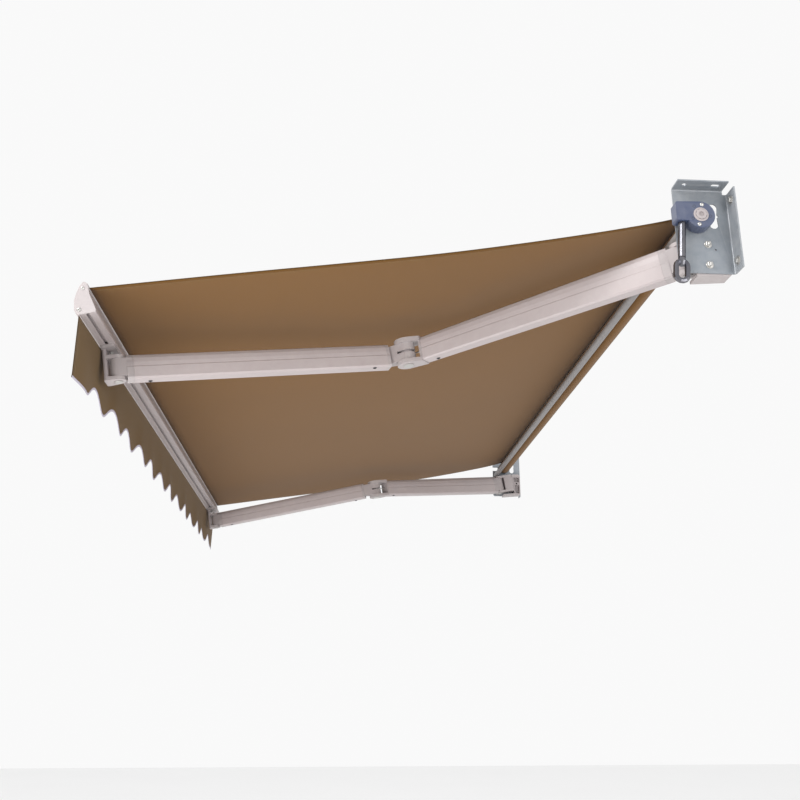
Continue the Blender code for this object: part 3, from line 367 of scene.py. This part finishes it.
def cloth_line():
    """Return the canopy's middle line from the frame, as (y, z) points from the roll to the bar."""
    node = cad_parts["canopy"]
    points = np.array([tuple(node.matrix_world @ v.co) for v in node.data.vertices])
    side = points[points[:, 0] > 0][:, 1:]
    side = side[np.argsort(-side[:, 0])]
    unique = [side[0]]
    for point in side[1:]:
        if np.abs(point - unique[-1]).max() > 0.00002:
            unique.append(point)
    pairs = np.array(unique)
    half = len(pairs) // 2
    return pairs[:2 * half].reshape(half, 2, 2).mean(axis=1)


def smooth_line(points, count):
    """Return a smooth curve of evenly spaced points through a line: cubic between them, u as arc length."""
    steps = np.hypot(*np.diff(points, axis=0).T)
    u = np.concatenate([[0], np.cumsum(steps)])
    slope = np.gradient(points, u, axis=0)
    where = np.linspace(0, u[-1], count)
    k = np.clip(np.searchsorted(u, where, side="right") - 1, 0, len(u) - 2)
    h = (u[k + 1] - u[k])[:, None]
    t = ((where - u[k]) / h[:, 0])[:, None]
    a = points[k] * (2 * t**3 - 3 * t**2 + 1)
    b = slope[k] * h * (t**3 - 2 * t**2 + t)
    c = points[k + 1] * (3 * t**2 - 2 * t**3)
    d = slope[k + 1] * h * (t**3 - t**2)
    return a + b + c + d, where


def canopy():
    """Main cloth: P(x, s) = line(s) with a shallow belly, deepest halfway out and along.

    Belly depth: 4 mm * sin(pi s / L) * cos(pi x / W), and edge curl of 2 mm within 60 mm of each side.
    """
    low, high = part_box("canopy")
    half = high[0]
    line, run = smooth_line(cloth_line(), 90)
    x = np.linspace(-half, half, 161)
    rows, columns = np.meshgrid(np.arange(len(run)), np.arange(len(x)), indexing="ij")
    share = run[rows] / run[-1]
    belly = -0.004 * np.sin(pi * share) * np.cos(pi * x[columns] / (2 * half))
    curl = 0.0018 * np.exp(-(half - np.abs(x[columns])) / 0.03) * np.sin(pi * share)
    waver = 0.0012 * np.sin(2.1 * x[columns] + 4.0 * share) * np.sin(pi * share)
    points = np.stack([x[columns], line[rows, 0], line[rows, 1] + belly + curl + waver], axis=-1)
    flat = np.stack([x[columns], run[rows]], axis=-1)
    mesh = grid_mesh("canopy_cloth", points, flat)
    look = wrapped("canopy_canvas", CANVAS, Color=colour(0.155, 0.064, 0.0012), Width=2 * half, Length=run[-1])
    made = keep("canopy_cloth", mesh, "wall_frame", "canvas", look)
    thicken(made)
    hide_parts("canopy")
    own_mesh(made)
    return made


def thicken(made, thickness=CLOTH_THICKNESS):
    """Give a sheet its thickness, half to each side."""
    step = made.modifiers.new("cloth", "SOLIDIFY")
    step.thickness = thickness
    step.offset = 0.0


def valance_edge(x, top, low):
    """Height of the scalloped edge: z = low + h (1 - cos(2 pi (x - x0) / l)) between the first and last low point."""
    wave = low + WAVE_HEIGHT * (1 - np.cos(tau * (x - FIRST_LOW_X) / WAVE_LENGTH))
    return np.where((x > FIRST_LOW_X) | (x < LAST_LOW_X), low, wave)


def valance_point(x, share, top, low, y):
    """Place on the valance: it hangs straight from the bar and ripples more towards its free edge."""
    edge = valance_edge(x, top, low)
    z = top + (edge - top) * share
    ripple = RIPPLE_HEIGHT * share**1.6 * (np.sin(tau * x / 0.43 + 0.8) + 0.5 * np.sin(tau * x / 0.19 + 2.0))
    return np.stack([x, y + ripple, z], axis=-1)


def valance():
    """Front cloth with scallops, and the tape bound over its lower edge."""
    (x0, y0, low), (x1, y1, top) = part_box("valance")
    middle = (y0 + y1) / 2
    x = np.linspace(x0, x1, 569)
    share = np.linspace(0, 1, 25)
    columns, rows = np.meshgrid(x, share)
    points = valance_point(columns, rows, top, low, middle)
    flat = np.stack([columns, (1 - rows) * (top - low)], axis=-1)
    look = wrapped(
        "valance_canvas", CANVAS, Color=colour(0.125, 0.062, 0.004), Width=x1 - x0, Length=top - low,
        Side_hem=1.0,
    )
    cloth = keep("valance_cloth", grid_mesh("valance_cloth", points, flat), "front_bar", "canvas_valance", look)
    thicken(cloth)
    edge_line = valance_point(x, np.ones_like(x), top, low, middle)
    tape = keep("valance_binding", ribbon("valance_binding", edge_line), "front_bar", "canvas_valance", BINDING)
    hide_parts("valance")


def ribbon(name, line):
    """Fold a tape over an edge: an oval section, b high and t thick, carried along the line.

    The section's point is line + b/2 (1 + cos a) up + t/2 sin a across, with up square to the line.
    """
    tangent = np.gradient(line, axis=0)
    tangent /= np.linalg.norm(tangent, axis=1)[:, None]
    across = np.array([0.0, 1.0, 0.0])
    up = np.cross(tangent, across)
    up *= np.sign(up[:, 2:])
    angles = np.arange(10) * tau / 10
    high = BINDING_HEIGHT / 2 * np.cos(angles)
    wide = BINDING_THICKNESS / 2 * np.sin(angles)
    lift = BINDING_HEIGHT / 2 - 0.0004
    points = line[:, None] + up[:, None] * (high + lift)[None, :, None] + across * wide[None, :, None]
    return grid_mesh(name, points, closed=True)


def cloth_roll():
    """Turns of cloth on the tube: r = r1 - t a / 2 pi on the outside, with each turn's edge showing at the ends."""
    low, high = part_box("fabric_roll")
    half = high[0]
    centre = ((low[1] + high[1]) / 2, (low[2] + high[2]) / 2)
    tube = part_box("roller_tube")
    inner = (tube[1][2] - tube[0][2]) / 2 + 0.0004
    outer = (high[2] - low[2]) / 2 - 0.0004
    start = radians(97)
    angles = start + np.linspace(0, tau, 73)
    reach = outer - ROLL_LAYER * (1 - (angles - start) / tau)
    layers = int((outer - inner) / ROLL_LAYER)
    rings = []
    for k in range(6 * layers, -1, -1):
        share = k / (6 * layers)
        inset = 0.0016 * abs(sin(pi * share * layers)) + 0.0008 * sin(5.0 * share)
        rings.append((-half + 0.0012 + inset, inner + (reach - inner) * share))
    rings = rings[::-1]
    body = [(x, reach) for x in np.linspace(-half, half, 60)[1:-1]]
    ends = [(-x, r) for x, r in rings[::-1]]
    points = []
    for x, radius in rings + body + ends:
        points.append(
            np.stack([np.full_like(angles, x), centre[0] + radius * np.cos(angles), centre[1] + radius * np.sin(angles)], axis=-1)
        )
    points = np.array(points)
    around = (angles - start) * outer
    flat = np.stack([points[..., 0], np.broadcast_to(around, points.shape[:2])], axis=-1)
    look = wrapped("roll_canvas", CANVAS, Color=colour(0.155, 0.064, 0.0012), Width=2 * half, Length=tau * outer)
    made = keep("cloth_roll", grid_mesh("cloth_roll", points, flat), "roller", "canvas", look)
    made.data.set_sharp_from_angle(angle=radians(50))
    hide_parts("fabric_roll")


# Fastenings and small details

def hex_bolt(size, washer=True, stud=0.0):
    """Hexagon head with a chamfered crown, on a washer, with the stud's end showing when it has one."""
    radius = size * 0.95
    height = size * 0.65
    base = 0.0016 if washer else 0.0
    parts = [
        (
            turned([(0.0, base), (radius, base), (radius, base + height * 0.85), (radius * 0.86, base + height), (0.0, base + height)], 6),
            Matrix(),
        )
    ]
    if washer:
        outer = size * 1.25
        parts.append((turned([(0.0, 0.0), (outer, 0.0), (outer, 0.0013), (outer - 0.0004, 0.0016), (0.0, 0.0016)]), Matrix()))
    if stud:
        top = base + height + stud
        threads = [(0.0, base)]
        turns = 5
        for k in range(2 * turns + 1):
            level = base + height * 0.8 + (top - base - height * 0.8) * k / (2 * turns)
            threads.append((size * (0.5 if k % 2 else 0.44), level))
        threads += [(size * 0.36, top + 0.0006), (0.0, top + 0.0006)]
        parts.append((turned(threads, 14), Matrix()))
    return joined("hex_bolt", parts)


def socket_screw(radius, height, socket=0.45):
    """Low round head with a hexagon socket."""
    crown = [
        (0.0, height * 0.35), (radius * socket, height * 0.35), (radius * socket, height * 0.97),
        (radius * (socket + 0.06), height), (radius * 0.72, height * 0.94), (radius * 0.93, height * 0.62),
        (radius, height * 0.25), (radius, 0.0), (0.0, 0.0),
    ]
    return turned(crown, 24, 40)


def dome(radius, height):
    """Round rivet head: r = R cos a, z = h sin a."""
    return turned([(0.0, 0.0), (radius, 0.0)] + [(radius * cos(a), height * sin(a)) for a in np.linspace(0.0, pi / 2, 7)], 20, 60)


def cup(radius, depth):
    """Shallow round recess with a rim, drawn just proud of the face that it is in."""
    return turned(
        [(radius * 1.15, 0.0), (radius * 1.10, 0.0004), (radius, 0.0004), (radius * 0.9, -depth * 0.1), (radius * 0.6, -depth * 0.12), (0.0, -depth * 0.12)],
        20, 40,
    )


def fastenings(name, body, look, slot, placed):
    """Show a set of small metal pieces as one piece."""
    keep(name, joined(name, placed), body, slot, look)


def gearbox_details():
    """Hub with an octagonal boss, two domed bolts and three drillings on the gearbox's cover; the drillings are
    shallow near-black cups, painted shade for the depth of the holes.
    """
    low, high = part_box("gearbox_case")
    face = high[0]
    axis_y = (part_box("roller_tube")[0][1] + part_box("roller_tube")[1][1]) / 2
    outward = (1, 0, 0)
    hub = turned([(0.0, -0.0004), (0.0150, -0.0004), (0.0150, 0.0030), (0.0138, 0.0042), (0.0072, 0.0042), (0.0068, 0.0020), (0.0, 0.0020)], 8)
    ring = turned([(0.0150, -0.0004), (0.0205, -0.0004), (0.0205, 0.0012), (0.0192, 0.0019), (0.0150, 0.0019)], 32)
    fastenings(
        "gearbox_hub", "wall_frame", CASTING, "zinc_steel",
        [(hub, along(outward, (face, axis_y, 0.0))), (ring, along(outward, (face, axis_y, 0.0)))],
    )
    bolts = [(-0.0910, 0.0300), (-0.1030, -0.0290)]
    fastenings(
        "gearbox_bolts", "wall_frame", ZINC, "zinc_steel",
        [(dome(0.0058, 0.0034), along(outward, (face - 0.0002, y, z))) for y, z in bolts],
    )
    # painted shade: each drilling is a shallow cup in near-black steel standing in for the dark inside of a hole
    drillings = [(-0.1130, 0.0240), (-0.1190, -0.0125), (-0.0710, -0.0045)]
    fastenings(
        "gearbox_drillings", "wall_frame", BLACK_STEEL_AND_HOLE_SHADE, "dark_steel",
        [(cup(0.0036, 0.004), along(outward, (face, y, z))) for y, z in drillings],
    )


def plate_bolts(hand):
    """Hexagon bolts that hold the shoulder support, and the wall bolts on the rear flange."""
    side = "right" if hand > 0 else "left"
    low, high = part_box(f"{side}_end_plate")
    web = hand * 1.450
    outward = (hand, 0, 0)
    placed = [
        (hex_bolt(0.0085, True, 0.006), along(outward, (web, y, z)))
        for y, z in ((-0.0710, -0.0710), (-0.0720, -0.1315))
    ]
    flange = -0.0040
    for x, y, z in ((1.474, flange, 0.053), (1.474, flange, -0.127)):
        placed.append((hex_bolt(0.0100, True, 0.0), along((0, -1, 0), (hand * x, y, z))))
    fastenings(f"plate_bolts_{side}", "wall_frame", ZINC, "zinc_steel", placed)


def arm_screws(hand):
    """Round-headed screws on the arms' undersides, at the castings."""
    side = "right" if hand > 0 else "left"
    down = -NORMAL
    for body, spots in (
        (f"rear_arm_{side}", ((1.009, -0.751),)),
        (f"front_arm_{side}", ((0.998, -0.943), (1.1385, -1.575))),
    ):
        placed = []
        for x, y in spots:
            z = (-0.1237 + sin(SLOPE) * y) / cos(SLOPE)
            placed.append((socket_screw(0.0058, 0.0028), along(down, Vector((hand * x, y, z)) + down * -0.0002)))
        fastenings(f"{body}_screws", body, BLACK_STEEL_AND_HOLE_SHADE, "dark_steel", placed)


def bar_details():
    """Screws of the bar's end caps."""
    placed = []
    for hand in (1, -1):
        side = "right" if hand > 0 else "left"
        low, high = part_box(f"bar_end_cap_{side}")
        face = high[0] if hand > 0 else low[0]
        placed.append((socket_screw(0.0055, 0.0026), along((hand, 0, 0), (face - hand * 0.0002, -1.7080, -0.3008))))
        placed.append((socket_screw(0.0045, 0.0022), along((hand, 0, 0), (face - hand * 0.0002, -1.7050, -0.2420))))
    fastenings("bar_end_cap_screws", "front_bar", ZINC, "zinc_steel", placed)


# Surroundings

def surroundings():
    """Pale floor, white world and three soft lamps."""
    size = 14.0
    x, y = np.meshgrid(np.linspace(-size, size, 2), np.linspace(-size, size, 2), indexing="ij")
    points = np.stack([x, y, np.full_like(x, FLOOR_Z)], axis=-1)
    floor = bpy.data.objects.new("floor", grid_mesh("floor", points))
    bpy.context.scene.collection.objects.link(floor)
    made = bpy.data.materials.new("floor_paint")
    made.use_nodes = True
    use = Tree(made.node_tree)
    shader = made.node_tree.nodes["Principled BSDF"]
    place = use.node("ShaderNodeTexCoord").outputs["Object"]
    tone = use.node("ShaderNodeTexNoise", Vector=place, Scale=0.8, Detail=3.0).outputs["Fac"]
    use.set(shader, "Base_Color", use.mix(use.math("MULTIPLY", tone, 0.25), colour(0.90, 0.90, 0.90), colour(0.82, 0.82, 0.82)))
    shader.inputs["Roughness"].default_value = 0.8
    floor.data.materials.append(made)
    world = bpy.data.worlds.new("studio")
    bpy.context.scene.world = world
    world.use_nodes = True
    back = world.node_tree.nodes["Background"]
    back.inputs["Color"].default_value = colour(1.0, 1.0, 1.0)
    back.inputs["Strength"].default_value = 0.95
    for name, place, target, power, width in (
        ("key", (4.2, -4.6, 3.2), (0.2, -0.8, -0.2), 260.0, 2.6),
        ("fill", (4.5, 1.6, -0.6), (1.2, -0.5, -0.1), 60.0, 2.2),
        ("under", (2.0, -2.6, -2.2), (0.6, -0.9, -0.2), 70.0, 2.6),
    ):
        data = bpy.data.lights.new(name, "AREA")
        data.energy = power
        data.size = width
        lamp = bpy.data.objects.new(name, data)
        bpy.context.scene.collection.objects.link(lamp)
        lamp.location = place
        lamp.rotation_euler = (Vector(target) - Vector(place)).to_track_quat("-Z", "Y").to_euler()


def camera():
    """Camera at the photograph's place; its axes are right, up and back."""
    data = bpy.data.cameras.new("camera")
    data.sensor_width = SENSOR
    data.lens = FOCAL_PIXELS / PICTURE_PIXELS * SENSOR
    made = bpy.data.objects.new("camera", data)
    bpy.context.scene.collection.objects.link(made)
    right = Vector(CAMERA_RIGHT).normalized()
    back = right.cross(Vector(CAMERA_UP)).normalized()
    up = back.cross(right)
    axes = Matrix((right, up, back)).transposed().to_4x4()
    made.location = CAMERA_PLACE
    made.rotation_euler = axes.to_euler()
    bpy.context.scene.camera = made


bpy.context.scene.view_settings.view_transform = "Standard"
camera()
dress_frame()
canopy()
valance()
cloth_roll()
gearbox_details()
for each_hand in (1, -1):
    plate_bolts(each_hand)
    arm_screws(each_hand)
bar_details()
surroundings()
bpy.context.view_layer.update()
